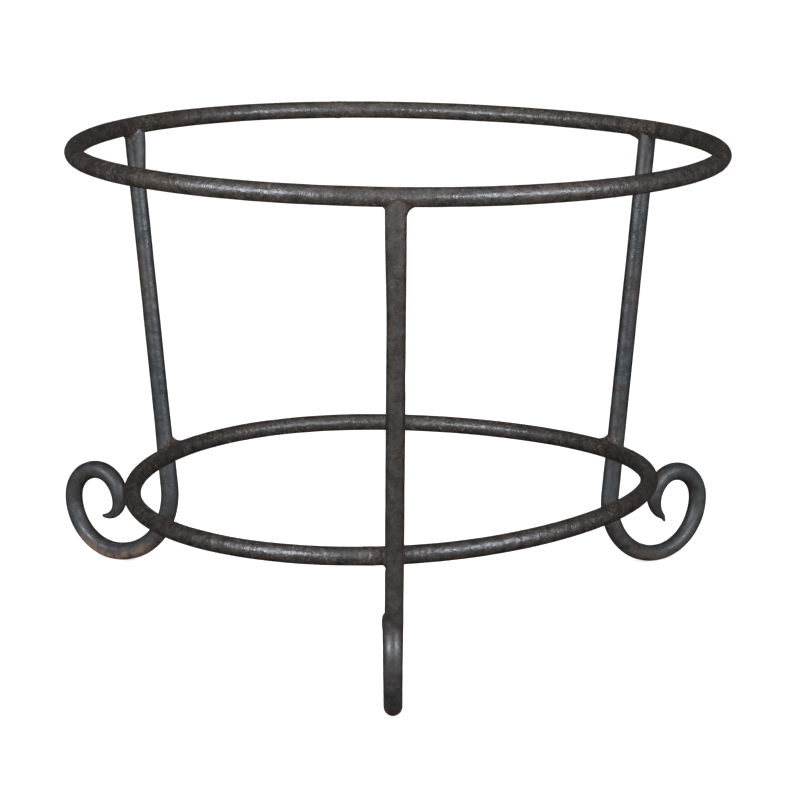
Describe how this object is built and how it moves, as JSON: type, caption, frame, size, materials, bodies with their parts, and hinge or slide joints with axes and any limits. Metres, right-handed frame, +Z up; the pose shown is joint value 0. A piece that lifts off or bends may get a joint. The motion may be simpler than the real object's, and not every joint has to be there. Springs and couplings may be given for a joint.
{
  "type": "ring stand",
  "caption": "Open round stand of forged bar: a top ring and a smaller lower ring on splayed legs with scroll feet, for a round pan, basin or top to rest on.",
  "frame": {"origin": "on the axis of the two rings, at floor level, in the middle of the circle that the feet stand on", "axes": "+Z up along the rings' axis; the front leg points along -Y; +X to the right seen from the front"},
  "size_m": [0.6232, 0.6564, 0.4316],
  "materials": {
    "ring_iron": "matte",
    "leg_iron": "matte",
    "weld_metal": "matte"
  },
  "bodies": {
    "root": {"top_ring": "ring_iron", "lower_ring": "ring_iron", "leg_front": "leg_iron", "leg_right": "leg_iron", "leg_left": "leg_iron", "top_weld_front": "weld_metal", "top_weld_right": "weld_metal", "top_weld_left": "weld_metal", "lower_weld_front": "weld_metal", "lower_weld_right": "weld_metal", "lower_weld_left": "weld_metal", "top_ring_seam": "weld_metal", "lower_ring_seam": "weld_metal"}
  },
  "joints": []
}
